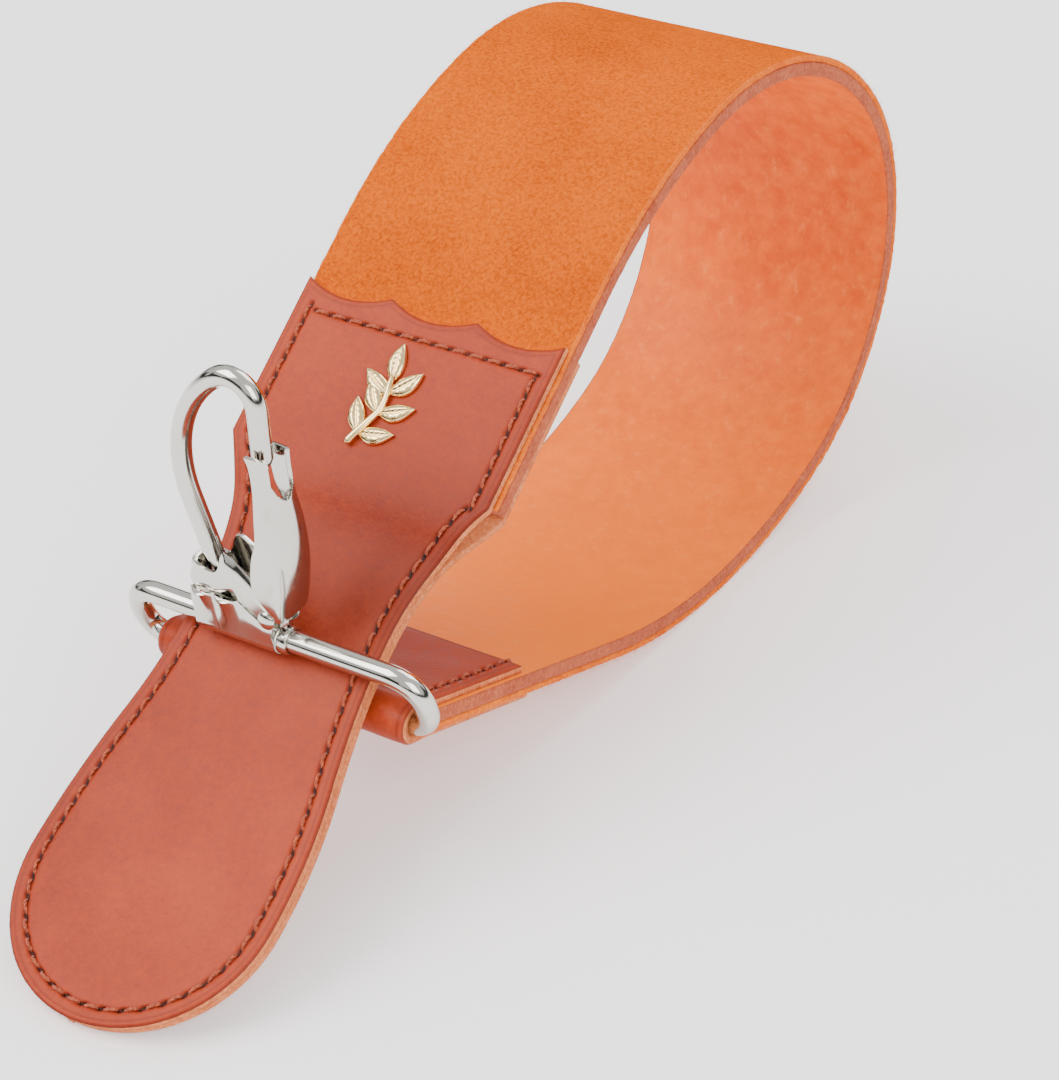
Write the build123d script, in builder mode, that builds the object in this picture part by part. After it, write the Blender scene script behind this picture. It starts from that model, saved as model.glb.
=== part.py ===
from build123d import *
import os
from math import acos, asin, atan2, cos, degrees, hypot, radians, sin, sqrt

os.makedirs("parts", exist_ok=True)

# Leather strop, curled into a loop with its handle threaded through the ring at the strap's other end.
# Millimetres. +Z is up, X runs across the strap, Y runs from the handle's tip to the far side of the loop.
# The strop stands on the handle's tip and on the underside of the loop; the origin is on that ground,
# under the middle of its box.
#
# Leather is laid out in the handle's own frame first: x across, y along the handle away from its tip, and
# z off its face. y = 0 is the scalloped end of the face cover and z = 0 is the cover's face there.

WIDE = 100.0             # longer than anything that it has to cut

# Leather
STRAP_HALF = 27.2        # half the strap's width
COVER_HALF = 26.8        # half the width of the handle covers where they hold the strap
NECK_HALF = 19.2         # half the handle's narrowest width
PADDLE_HALF = 24.8       # half the handle's width at its rounded end
CAP_HALF = 26.0          # half the width of the folded end cap
SUEDE_PLY = 1.3
SMOOTH_PLY = 2.7
STRAP = SUEDE_PLY + SMOOTH_PLY
COVER = 1.8
CAP_LEATHER = 1.5
GLUE = 0.04              # glue line between two leathers

SHOULDER_Y = -31.0       # where the covers narrow, just past the strap's hidden end
STRAP_END_Y = -30.0
NECK_Y = -57.0
PADDLE_Y = -109.0        # centre of the rounded end
TIP_Y = PADDLE_Y - PADDLE_HALF
COVER_BEND_R = 25.0      # each cover bends in to meet the other past the strap's end
SCALLOPS = 3
SCALLOP_DEPTH = 2.3

# The strap's suede face from its hidden end to the ring: (radius or 0, degrees of turn or length)
STRAP_RUN = (
    (0, 42.0),
    (97.0, -26.0),
    (61.0, -60.0),
    (44.0, -65.0),
    (50.0, -46.0),
    (112.0, -38.5),
    (0, 64.0),
)
PADDLE_RISE_R = 300.0    # the paddle curves up gently, starting past the neck
PADDLE_RISE_Y = -70.0

# Stitching
STITCH_PITCH = 3.6
STITCH_LENGTH = 2.4
STITCH_WIDTH = 0.7
STITCH_RISE = 0.35
STITCH_INSET = 3.0
STITCH_TOP_Y = -6.0      # the row that crosses the covers' wide end

# End cap, measured along the strap back from the ring's lower bar
CAP_INNER_LEAF = 32.0
CAP_OUTER_LEAF = 35.0
CAP_CROSS_ROW = 6.0
STRAP_TO_BAR = 2.4

# Ring
RING_WIRE_R = 1.95
RING_HALF = 30.0         # centre of the ring to the centre of each leg
RING_HEIGHT = 12.0       # lower bar to top bar, centre to centre
RING_CORNER_R = 4.5
BORE_GAP = 0.05          # running clearance round a bar or pin

# Snap clip: u runs along the ring's top bar (+X), c is up, and the clip is centred on the bar
CLIP_X = -4.5
SHEET = 0.8
CLIP_INNER = RING_WIRE_R + BORE_GAP
CLIP_OUTER = CLIP_INNER + SHEET
CLIP_OFF_FACE = 0.25     # gap between the clip's barrel and the handle's face
CLIP_PLATE = (           # the body seen from the side, in u and c
    (-9.6, -4.0),
    (-9.9, 9.4),
    (-8.6, 12.0),
    (-3.0, 10.9),
    (-1.8, 15.8),
    (9.0, 7.4),
    (9.2, 3.6),
    (7.2, 0.5),
    (7.2, -4.0),
)
CLIP_TALL = 17.0
HOOK_WIRE_R = 1.8
HOOK_BASE = (-3.3, 5.2)
HOOK_HEADING = 108.0
HOOK_RUN = (
    (0, 18.5),
    (22.2, -68.0),
    (0, 1.5),
    (5.0, -130.0),
    (0, 8.0),
)
PIN_AT = (6.6, 5.1)
PIN_R = 0.9
PIN_HEAD_R = 1.7
PIN_HEAD = 0.5
GATE_SHEET = 0.85
GATE_FOOT_HALF = 3.8
GATE_MID = (5.2, 17.0)   # half-width and height where the gate is widest
GATE_TOP = (HOOK_WIRE_R + 0.25 + GATE_SHEET, 30.0)
GATE_WEB = ((10.6, 5.0), (11.2, 12.0), (11.6, 19.0), (11.2, 28.0), (10.9, 36.5))
GATE_LIP = ((6.0, 5.0), (6.2, 13.0), (7.2, 22.0), (6.5, 31.0), (6.2, 36.5))
GATE_WINDOW = 28.5       # above this height the web is open for the hook's tip
GATE_BODY_SPACE = ((-WIDE, -WIDE), (-WIDE, 15.5), (2.0, 15.5), (9.6, 9.6), (9.6, -WIDE))
EAR_HALF = CLIP_INNER - 0.1
EAR_R = 2.6
PIN_HALF = CLIP_OUTER + BORE_GAP
SPRING_WIRE_R = 0.3
SPRING_COIL_R = 1.5
SPRING_PITCH = 0.65
SPRING_TURNS = 2

# Badge: a leafy sprig
BADGE_Y = -19.0
BADGE_THICK = 1.2
STEM = ((-3.5, -8.0), (-0.5, -1.0), (-1.0, 5.0))
STEM_WIDTH = 1.2
LEAF_LENGTH = 7.0
LEAF_WIDTH = 3.0
LEAF_PAIRS = (0.15, 0.45, 0.75)
LEAF_SPREAD = 52.0
BADGE_POSTS = ((-2.0, -4.0), (-0.8, 3.5))
BADGE_POST_R = 0.6
PUSH_NUT_R = 2.0
PUSH_NUT = 0.5


def walk(start, heading, run, shift=0.0):
    """Corners and mid-points of a run of straights and tangent arcs, shifted to its left."""
    y, z = start
    angle = radians(heading)
    stretches = []
    for radius, amount in run:
        first = (y - shift * sin(angle), z + shift * cos(angle))
        middle = None
        if radius == 0:
            y += amount * cos(angle)
            z += amount * sin(angle)
        else:
            turn = radians(amount)
            side = 1 if turn > 0 else -1
            centre_y = y - side * radius * sin(angle)
            centre_z = z + side * radius * cos(angle)
            reach = radius - side * shift
            half = angle + turn / 2
            middle = (centre_y + side * reach * sin(half), centre_z - side * reach * cos(half))
            angle += turn
            y = centre_y + side * radius * sin(angle)
            z = centre_z - side * radius * cos(angle)
        last = (y - shift * sin(angle), z + shift * cos(angle))
        stretches.append((first, middle, last))
    return stretches, (y, z), degrees(angle)


def draw_run(start, heading, run, shift=0.0):
    """Draw a run inside a BuildLine and return its two ends."""
    stretches = walk(start, heading, run, shift)[0]
    for first, middle, last in stretches:
        if middle is None:
            Line(first, last)
        else:
            ThreePointArc(first, middle, last)
    return stretches[0][0], stretches[-1][2]


def band(start, heading, run, low, high):
    """Draw the strip between two shifts of a run, as a face in the current BuildSketch."""
    with BuildLine() as edge:
        low_ends = draw_run(start, heading, run, low)
        high_ends = draw_run(start, heading, run, high)
        Line(low_ends[0], high_ends[0])
        Line(low_ends[1], high_ends[1])
    make_face(edge.edges())


# ---------------------------------------------------------------- layout
STRAP_START = (STRAP_END_Y, -COVER)
LOWER_BAR = walk(STRAP_START, 0, STRAP_RUN, -STRAP / 2)[0][-1][2]
STRAP_HEADING = walk(STRAP_START, 0, STRAP_RUN)[2]

NECK_DROP = STRAP / 2
COVER_BEND = degrees(acos(1 - NECK_DROP / (2 * COVER_BEND_R)))
COVER_BEND_END = SHOULDER_Y - 2 * COVER_BEND_R * sin(radians(COVER_BEND))
PADDLE_TURN = degrees((PADDLE_RISE_Y - TIP_Y + 1) / PADDLE_RISE_R)
FACE_START = (0, 0)
BACK_START = (0, -2 * COVER - STRAP)


def cover_run(bend, paddle_r):
    return (
        (0, -SHOULDER_Y),
        (COVER_BEND_R, bend),
        (COVER_BEND_R, -bend),
        (0, COVER_BEND_END - PADDLE_RISE_Y),
        (paddle_r, -PADDLE_TURN),
    )


FACE_RUN = cover_run(COVER_BEND, PADDLE_RISE_R)
BACK_RUN = cover_run(-COVER_BEND, PADDLE_RISE_R + 2 * COVER)


def paddle_z(y, depth):
    """Height of the curved paddle at y, at a depth below its face."""
    return PADDLE_RISE_R - NECK_DROP - sqrt((PADDLE_RISE_R + depth) ** 2 - (y - PADDLE_RISE_Y) ** 2)


# The ring's top bar sits a little above the neck, so that the clip's barrel clears it.
bar_rise = CLIP_OUTER + CLIP_OFF_FACE - NECK_DROP - LOWER_BAR[1]
TOP_BAR = (LOWER_BAR[0] + sqrt(RING_HEIGHT**2 - bar_rise**2), LOWER_BAR[1] + bar_rise)

# The strop leans until its handle's tip and the underside of the loop's long last arc are level.
GROUND_ARC = 5
GROUND_R = STRAP_RUN[GROUND_ARC][0]
_, arc_start, arc_heading = walk(STRAP_START, 0, STRAP_RUN[:GROUND_ARC])
ground_y = arc_start[0] + GROUND_R * sin(radians(arc_heading))
ground_z = arc_start[1] - GROUND_R * cos(radians(arc_heading))
tip_z = paddle_z(TIP_Y, 2 * COVER)
away = hypot(ground_y - TIP_Y, ground_z - tip_z)
LEAN = asin(GROUND_R / away) - atan2(ground_z - tip_z, ground_y - TIP_Y)
ALONG = Vector(0, cos(LEAN), sin(LEAN))
OFF_FACE = Vector(0, -sin(LEAN), cos(LEAN))


def side_plane(origin, along=ALONG):
    """Sketch plane that looks along X, with its own x the way along the leather."""
    return Plane(origin=origin, x_dir=along, z_dir=(1, 0, 0))


with BuildLine(side_plane((0, 0, 0))) as loop_line:
    draw_run(STRAP_START, 0, STRAP_RUN)
loop_box = loop_line.line.bounding_box()
near_y = (ALONG * TIP_Y + OFF_FACE * paddle_z(TIP_Y, 0)).Y
ORIGIN = Vector(0, -(near_y + loop_box.max.Y) / 2, -loop_box.min.Z)

SIDE = side_plane(ORIGIN)
FACE = Plane(origin=ORIGIN, x_dir=(1, 0, 0), z_dir=OFF_FACE)


def place(y, z, x=0.0):
    """A point of the leather's own frame, in the part's frame."""
    return ORIGIN + ALONG * y + OFF_FACE * z + Vector(x, 0, 0)


# ---------------------------------------------------------------- strap
STRAP_CUT_RUN = STRAP_RUN[:-1] + ((0, STRAP_RUN[-1][1] - STRAP_TO_BAR),)
POST_SPOTS = [(x, y + BADGE_Y) for x, y in BADGE_POSTS]
POST_HOLE_R = BADGE_POST_R + BORE_GAP
NUT_POCKET_R = PUSH_NUT_R + 0.1
NUT_POCKET = PUSH_NUT + 0.15
STRAP_BACK = FACE.offset(-COVER - STRAP)

with BuildPart() as strap_suede_ply:
    with BuildSketch(SIDE):
        band(STRAP_START, 0, STRAP_CUT_RUN, -SUEDE_PLY, -GLUE)
    extrude(amount=STRAP_HALF, both=True)
    with BuildSketch(STRAP_BACK):
        with Locations(*POST_SPOTS):
            Circle(POST_HOLE_R)
    extrude(amount=STRAP + COVER, mode=Mode.SUBTRACT)

with BuildPart() as strap_smooth_ply:
    with BuildSketch(SIDE):
        band(STRAP_START, 0, STRAP_CUT_RUN, -STRAP + GLUE, -SUEDE_PLY - GLUE)
    extrude(amount=STRAP_HALF, both=True)
    with BuildSketch(STRAP_BACK):
        with Locations(*POST_SPOTS):
            Circle(POST_HOLE_R)
    extrude(amount=STRAP, mode=Mode.SUBTRACT)
    with BuildSketch(STRAP_BACK):
        with Locations(*POST_SPOTS):
            Circle(NUT_POCKET_R)
    extrude(amount=NUT_POCKET, mode=Mode.SUBTRACT)


# ---------------------------------------------------------------- handle
def handle_sides(top_y):
    """Both long sides and the rounded end of the handle, from top_y down, as lines."""
    middle = ((NECK_HALF + PADDLE_HALF) / 2, (NECK_Y + PADDLE_Y) / 2)
    for side in (1, -1):
        neck = (side * NECK_HALF, NECK_Y)
        waist = (side * middle[0], middle[1])
        Line((side * COVER_HALF, top_y), (side * COVER_HALF, SHOULDER_Y))
        TangentArc(neck, (side * COVER_HALF, SHOULDER_Y), tangent=(0, 1))
        TangentArc(neck, waist, tangent=(0, -1))
        TangentArc((side * PADDLE_HALF, PADDLE_Y), waist, tangent=(0, 1))
    ThreePointArc((PADDLE_HALF, PADDLE_Y), (0, TIP_Y), (-PADDLE_HALF, PADDLE_Y))


def handle_outline():
    """The covers' outline, with its scalloped end."""
    scallop = 2 * COVER_HALF / SCALLOPS
    with BuildLine() as edge:
        handle_sides(0)
        for number in range(SCALLOPS):
            left = number * scallop - COVER_HALF
            ThreePointArc((left, 0), (left + scallop / 2, -SCALLOP_DEPTH), (left + scallop, 0))
    make_face(edge.edges())


def stitch_spots(line, count):
    """Evenly spaced places along a line, each turned to lie along it."""
    spots = []
    for number in range(count):
        at = line.position_at(number / count)
        way = line.tangent_at(number / count)
        spots.append(Location((at.X, at.Y, 0), degrees(atan2(way.Y, way.X))))
    return spots


with BuildSketch() as stitch_field:
    with BuildLine():
        handle_sides(STITCH_TOP_Y + STITCH_INSET)
        Line((-COVER_HALF, STITCH_TOP_Y + STITCH_INSET), (COVER_HALF, STITCH_TOP_Y + STITCH_INSET))
    make_face()
    offset(amount=-STITCH_INSET, kind=Kind.INTERSECTION)
stitch_line = stitch_field.sketch.face().outer_wire()
handle_stitches = stitch_spots(stitch_line, round(stitch_line.length / STITCH_PITCH))

with BuildPart() as handle_face_cover:
    with BuildSketch(SIDE):
        band(FACE_START, 180, FACE_RUN, 0, COVER - GLUE)
    extrude(amount=WIDE, both=True)
    with BuildSketch(FACE):
        handle_outline()
    extrude(amount=WIDE, both=True, mode=Mode.INTERSECT)
    with BuildSketch(FACE.offset(-2 * COVER)):
        with Locations(*POST_SPOTS):
            Circle(POST_HOLE_R)
    extrude(amount=STRAP, mode=Mode.SUBTRACT)

with BuildPart() as handle_back_cover:
    with BuildSketch(SIDE):
        band(BACK_START, 180, BACK_RUN, GLUE - COVER, 0)
    extrude(amount=WIDE, both=True)
    with BuildSketch(FACE):
        handle_outline()
    extrude(amount=WIDE, both=True, mode=Mode.INTERSECT)

with BuildPart() as handle_needle_thread:
    with BuildSketch(SIDE):
        band(FACE_START, 180, FACE_RUN, -STITCH_RISE, 0)
    extrude(amount=WIDE, both=True)
    with BuildSketch(FACE):
        with Locations(*handle_stitches):
            SlotOverall(STITCH_LENGTH, STITCH_WIDTH)
    extrude(amount=WIDE, both=True, mode=Mode.INTERSECT)

with BuildPart() as handle_bobbin_thread:
    with BuildSketch(SIDE):
        band(BACK_START, 180, BACK_RUN, 0, STITCH_RISE)
    extrude(amount=WIDE, both=True)
    with BuildSketch(FACE):
        with Locations(*handle_stitches):
            SlotOverall(STITCH_LENGTH, STITCH_WIDTH)
    extrude(amount=WIDE, both=True, mode=Mode.INTERSECT)


# ---------------------------------------------------------------- end cap
# Its own frame: x runs back along the strap from the ring's lower bar, y to the loop's inside.
back_angle = radians(STRAP_HEADING + 180)
BACK_ALONG = ALONG * cos(back_angle) + OFF_FACE * sin(back_angle)
CAP_SIDE = side_plane(place(*LOWER_BAR), BACK_ALONG)
CAP_INNER_R = STRAP / 2 + GLUE
CAP_OUTER_R = CAP_INNER_R + CAP_LEATHER

with BuildPart() as end_cap:
    with BuildSketch(CAP_SIDE):
        Circle(CAP_OUTER_R)
        Rectangle(WIDE, WIDE, align=(Align.MIN, Align.CENTER), mode=Mode.SUBTRACT)
        for leaf, side in ((CAP_INNER_LEAF, 1), (CAP_OUTER_LEAF, -1)):
            with Locations((0, side * (CAP_INNER_R + CAP_LEATHER / 2))):
                Rectangle(leaf, CAP_LEATHER, align=(Align.MIN, Align.CENTER))
        Circle(CAP_INNER_R, mode=Mode.SUBTRACT)
    extrude(amount=CAP_HALF, both=True)


def cap_stitches(leaf, way):
    """Two side rows out to the leaf's end, and a cross row near the fold."""
    side_x = CAP_HALF - STITCH_INSET
    row = int((leaf - CAP_CROSS_ROW) / STITCH_PITCH)
    across = round(2 * side_x / STITCH_PITCH)
    spots = []
    for number in range(row):
        along = way * (CAP_CROSS_ROW + (number + 0.5) * STITCH_PITCH)
        spots.append(Location((side_x, along, 0), 90))
        spots.append(Location((-side_x, along, 0), 90))
    for number in range(across):
        spots.append(Location(((number + 0.5 - across / 2) * STITCH_PITCH, way * CAP_CROSS_ROW, 0), 0))
    return spots


INNER_LEAF = Plane(
    origin=CAP_SIDE.origin + CAP_SIDE.y_dir * CAP_OUTER_R,
    x_dir=(1, 0, 0),
    z_dir=CAP_SIDE.y_dir,
)
OUTER_LEAF = Plane(
    origin=CAP_SIDE.origin - CAP_SIDE.y_dir * CAP_OUTER_R,
    x_dir=(1, 0, 0),
    z_dir=-CAP_SIDE.y_dir,
)
INNER_WAY = round(INNER_LEAF.y_dir.dot(BACK_ALONG))
OUTER_WAY = round(OUTER_LEAF.y_dir.dot(BACK_ALONG))

with BuildPart() as cap_needle_thread:
    with BuildSketch(INNER_LEAF):
        with Locations(*cap_stitches(CAP_INNER_LEAF, INNER_WAY)):
            SlotOverall(STITCH_LENGTH, STITCH_WIDTH)
    extrude(amount=STITCH_RISE)

with BuildPart() as cap_bobbin_thread:
    with BuildSketch(OUTER_LEAF):
        with Locations(*cap_stitches(CAP_OUTER_LEAF, OUTER_WAY)):
            SlotOverall(STITCH_LENGTH, STITCH_WIDTH)
    extrude(amount=STITCH_RISE)


# ---------------------------------------------------------------- badge
stem_line = Spline(*[(x, y + BADGE_Y) for x, y in STEM])


def leaf_spot(where, spread):
    """Where a leaf joins the stem, turned to the way it points."""
    at = stem_line @ where
    way = stem_line % where
    return Location((at.X, at.Y, 0), degrees(atan2(way.Y, way.X)) + spread)


leaf_spots = [leaf_spot(0.93, 0.0)]
for where in LEAF_PAIRS:
    leaf_spots += [leaf_spot(where, LEAF_SPREAD), leaf_spot(where, -LEAF_SPREAD)]

with BuildSketch() as leaf:
    with BuildLine():
        ThreePointArc((0, 0), (LEAF_LENGTH / 2, LEAF_WIDTH / 2), (LEAF_LENGTH, 0))
        ThreePointArc((0, 0), (LEAF_LENGTH / 2, -LEAF_WIDTH / 2), (LEAF_LENGTH, 0))
    make_face()

with BuildPart() as sprig_badge:
    with BuildSketch(FACE):
        trace(stem_line, line_width=STEM_WIDTH)
        with Locations(*leaf_spots):
            add(leaf.sketch)
    extrude(amount=BADGE_THICK)

POST_TIP = COVER + STRAP - 2 * GLUE
with BuildPart() as badge_posts:
    with BuildSketch(FACE):
        with Locations(*POST_SPOTS):
            Circle(BADGE_POST_R)
    extrude(amount=-POST_TIP)

with BuildPart() as badge_push_nuts:
    with BuildSketch(STRAP_BACK.offset(2 * GLUE)):
        with Locations(*POST_SPOTS):
            Circle(PUSH_NUT_R)
            Circle(BADGE_POST_R + GLUE, mode=Mode.SUBTRACT)
    extrude(amount=PUSH_NUT)


# ---------------------------------------------------------------- ring
ring_up = (place(*TOP_BAR) - place(*LOWER_BAR)).normalized()
RING = Plane(
    origin=(place(*TOP_BAR) + place(*LOWER_BAR)) / 2,
    x_dir=(1, 0, 0),
    z_dir=Vector(1, 0, 0).cross(ring_up),
)

with BuildPart() as ring:
    with BuildLine(RING) as half_ring:
        FilletPolyline(
            (0, -RING_HEIGHT / 2),
            (RING_HALF, -RING_HEIGHT / 2),
            (RING_HALF, RING_HEIGHT / 2),
            (0, RING_HEIGHT / 2),
            radius=RING_CORNER_R,
        )
    with BuildSketch(Plane(origin=half_ring.line @ 0, z_dir=half_ring.line % 0)):
        Circle(RING_WIRE_R)
    sweep(path=half_ring.line)
    mirror(about=Plane.YZ)


# ---------------------------------------------------------------- snap clip
BAR = place(*TOP_BAR, CLIP_X)
CLIP_SIDE = Plane(origin=BAR, x_dir=(1, 0, 0), z_dir=(0, -1, 0))
CLIP_END = Plane(origin=BAR, x_dir=(0, 1, 0), z_dir=(1, 0, 0))

with BuildPart() as clip_body:
    with BuildSketch(CLIP_END):
        Circle(CLIP_OUTER)
        Rectangle(2 * CLIP_OUTER, CLIP_TALL, align=(Align.CENTER, Align.MIN))
        Circle(CLIP_INNER, mode=Mode.SUBTRACT)
        Rectangle(2 * CLIP_INNER, CLIP_TALL, align=(Align.CENTER, Align.MIN), mode=Mode.SUBTRACT)
    extrude(amount=WIDE, both=True)
    with BuildSketch(CLIP_SIDE):
        with BuildLine():
            Polyline(*CLIP_PLATE, close=True)
        make_face()
        with Locations(PIN_AT):
            Circle(PIN_R + GLUE / 2, mode=Mode.SUBTRACT)
    extrude(amount=WIDE, both=True, mode=Mode.INTERSECT)

with BuildPart() as hook_wire:
    with BuildLine(CLIP_SIDE) as hook_line:
        draw_run(HOOK_BASE, HOOK_HEADING, HOOK_RUN)
    with BuildSketch(Plane(origin=hook_line.line @ 0, z_dir=hook_line.line % 0)):
        Circle(HOOK_WIRE_R)
    sweep(path=hook_line.line)
    with Locations(hook_line.line @ 1):
        Sphere(HOOK_WIRE_R)


def gate_face(inset):
    """The gate's outline from its outer side, in across and up, drawn in the current BuildSketch."""
    foot, top_c = GATE_WEB[0][1], GATE_WEB[-1][1]
    with BuildLine() as edge:
        for side in (1, -1):
            base = (side * (GATE_FOOT_HALF - inset), foot)
            middle = (side * (GATE_MID[0] - inset), GATE_MID[1])
            top = (side * (GATE_TOP[0] - inset), GATE_TOP[1])
            Line((base[0], foot - 1 - inset), base)
            Spline(base, middle, top, tangents=((0, 1), (0, 1)))
            Line(top, (top[0], top_c + 1 + inset))
        for half, c in ((GATE_FOOT_HALF, foot - 1 - inset), (GATE_TOP[0], top_c + 1 + inset)):
            Line((half - inset, c), (inset - half, c))
    make_face(edge.edges())


with BuildPart() as gate_hollow:
    with BuildSketch(CLIP_SIDE):
        with BuildLine():
            web = Spline(*[(u - GATE_SHEET, c) for u, c in GATE_WEB])
            below = web @ 0 - Vector(0, 2)
            above = web @ 1 + Vector(0, 2)
            Polyline(web @ 0, below, below - Vector(WIDE), above - Vector(WIDE), above, web @ 1)
        make_face()
        with Locations((0, GATE_WINDOW)):
            Rectangle(WIDE, WIDE, align=(Align.CENTER, Align.MIN))
    extrude(amount=WIDE, both=True)
    with BuildSketch(CLIP_END):
        gate_face(GATE_SHEET)
    extrude(amount=WIDE, both=True, mode=Mode.INTERSECT)

with BuildPart() as gate:
    with BuildSketch(CLIP_SIDE):
        with BuildLine():
            web = Spline(*GATE_WEB)
            lip = Spline(*GATE_LIP)
            Line(web @ 0, lip @ 0)
            Line(web @ 1, lip @ 1)
        make_face()
        with BuildLine():
            Polyline(*GATE_BODY_SPACE, close=True)
        make_face(mode=Mode.SUBTRACT)
    extrude(amount=WIDE, both=True)
    with BuildSketch(CLIP_END):
        gate_face(0)
    extrude(amount=WIDE, both=True, mode=Mode.INTERSECT)
    add(gate_hollow.part, mode=Mode.SUBTRACT)
    with BuildSketch(CLIP_SIDE.offset(EAR_HALF), CLIP_SIDE.offset(GATE_SHEET - EAR_HALF)):
        with Locations(PIN_AT):
            Circle(EAR_R)
            Rectangle(EAR_R + 1.0, EAR_R, align=(Align.MIN, Align.CENTER))
    extrude(amount=-GATE_SHEET)
    with BuildSketch(CLIP_SIDE):
        with Locations(PIN_AT):
            Circle(PIN_R + BORE_GAP)
    extrude(amount=WIDE, both=True, mode=Mode.SUBTRACT)

with BuildPart() as gate_pin:
    with BuildSketch(CLIP_SIDE):
        with Locations(PIN_AT):
            Circle(PIN_R)
    extrude(amount=PIN_HALF, both=True)
    with BuildSketch(CLIP_SIDE.offset(PIN_HALF), CLIP_SIDE.offset(-PIN_HALF - PIN_HEAD)):
        with Locations(PIN_AT):
            Circle(PIN_HEAD_R)
    extrude(amount=PIN_HEAD)

coil_height = SPRING_PITCH * SPRING_TURNS
PIN_CENTRE = CLIP_SIDE.from_local_coords(Vector(*PIN_AT))
coil_foot = PIN_CENTRE - Vector(0, coil_height / 2, 0)
with BuildPart() as gate_spring:
    with BuildLine() as coil:
        Helix(SPRING_PITCH, coil_height, SPRING_COIL_R, center=coil_foot, direction=(0, 1, 0))
    with BuildSketch(Plane(origin=coil.line @ 0, z_dir=coil.line % 0)):
        Circle(SPRING_WIRE_R)
    sweep(path=coil.line, is_frenet=True)


# ---------------------------------------------------------------- export
NODES = {
    "strap_suede_ply": strap_suede_ply,
    "strap_smooth_ply": strap_smooth_ply,
    "handle_face_cover": handle_face_cover,
    "handle_back_cover": handle_back_cover,
    "handle_needle_thread": handle_needle_thread,
    "handle_bobbin_thread": handle_bobbin_thread,
    "end_cap": end_cap,
    "cap_needle_thread": cap_needle_thread,
    "cap_bobbin_thread": cap_bobbin_thread,
    "sprig_badge": sprig_badge,
    "badge_posts": badge_posts,
    "badge_push_nuts": badge_push_nuts,
    "ring": ring,
    "clip_body": clip_body,
    "hook_wire": hook_wire,
    "gate": gate,
    "gate_pin": gate_pin,
    "gate_spring": gate_spring,
}
for name, builder in NODES.items():
    builder.part.label = name
    export_step(builder.part, f"parts/{name}.step")

print("lean", round(degrees(LEAN), 2), "ring lower bar", place(*LOWER_BAR), "top bar", place(*TOP_BAR))
print("gate pin", PIN_CENTRE)
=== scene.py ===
import math

import bmesh
import bpy
import numpy as np
from mathutils import Matrix, Vector, noise


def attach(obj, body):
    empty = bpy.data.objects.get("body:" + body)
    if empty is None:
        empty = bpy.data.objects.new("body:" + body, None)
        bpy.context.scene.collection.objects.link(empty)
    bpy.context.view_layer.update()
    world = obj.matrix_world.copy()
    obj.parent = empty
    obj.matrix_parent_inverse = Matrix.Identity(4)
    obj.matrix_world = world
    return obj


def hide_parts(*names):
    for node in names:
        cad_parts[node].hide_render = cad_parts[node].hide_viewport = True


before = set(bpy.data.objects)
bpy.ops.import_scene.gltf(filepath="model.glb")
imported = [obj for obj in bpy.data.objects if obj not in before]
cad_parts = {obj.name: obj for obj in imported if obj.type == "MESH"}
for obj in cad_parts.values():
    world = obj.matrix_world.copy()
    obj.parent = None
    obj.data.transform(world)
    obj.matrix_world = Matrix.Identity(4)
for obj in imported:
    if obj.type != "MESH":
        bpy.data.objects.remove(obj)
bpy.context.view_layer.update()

dice = np.random.default_rng(11)

# ---------------------------------------------------------------- dimensions (mm, as the CAD source has them)
MM = 0.001
LEAN = 0.6260877
ORIGIN = np.array((0.0, -3.61125, 77.4484))
ALONG = np.array((0.0, math.cos(LEAN), math.sin(LEAN)))
OFF_FACE = np.array((0.0, -math.sin(LEAN), math.cos(LEAN)))
ACROSS = np.array((1.0, 0.0, 0.0))
STRAP_HALF, COVER_HALF, NECK_HALF, PADDLE_HALF, CAP_HALF = 27.2, 26.8, 19.2, 24.8, 26.0
SUEDE_PLY, STRAP, COVER, CAP_LEATHER, GLUE = 1.3, 4.0, 1.8, 1.5, 0.04
SHOULDER_Y, NECK_Y, PADDLE_Y = -31.0, -57.0, -109.0
TIP_Y = PADDLE_Y - PADDLE_HALF
STRAP_RUN = (
    (0, 42.0), (97.0, -26.0), (61.0, -60.0), (44.0, -65.0), (50.0, -46.0), (112.0, -38.5), (0, 61.6),
)
COVER_BEND, COVER_BEND_R, PADDLE_TURN = 16.2602, 25.0, 12.3759
BACK_ANGLE = math.radians(-55.5)
BAR = np.array((-4.5, -55.2697, 41.3879))
RING_LOW = np.array((0.0, -51.8355, 29.8898))
CLIP_OUTER = 2.8
RING_WIRE_R, HOOK_WIRE_R = 1.95, 1.8
STITCH_PITCH = 3.6
SCALLOP_DEPTH = 2.3
CAP_LEAVES = (32.0, 35.0)       # inner and outer
PIN_AT = (6.6, 5.1)


# ---------------------------------------------------------------- small tools
def place(x, y, z):
    """Points of the leather's own frame in the row frame, in metres."""
    x, y, z = np.broadcast_arrays(x, y, z)
    p = ORIGIN + x[..., None] * ACROSS + y[..., None] * ALONG + z[..., None] * OFF_FACE
    return p.reshape(-1, 3) * MM


def clip_at(u, v, c):
    """Points of the clip's own frame: along the bar, away from the viewer, and up."""
    u, v, c = np.broadcast_arrays(u, v, c)
    p = BAR + np.stack((u, v, c), -1)
    return p.reshape(-1, 3) * MM


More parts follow.
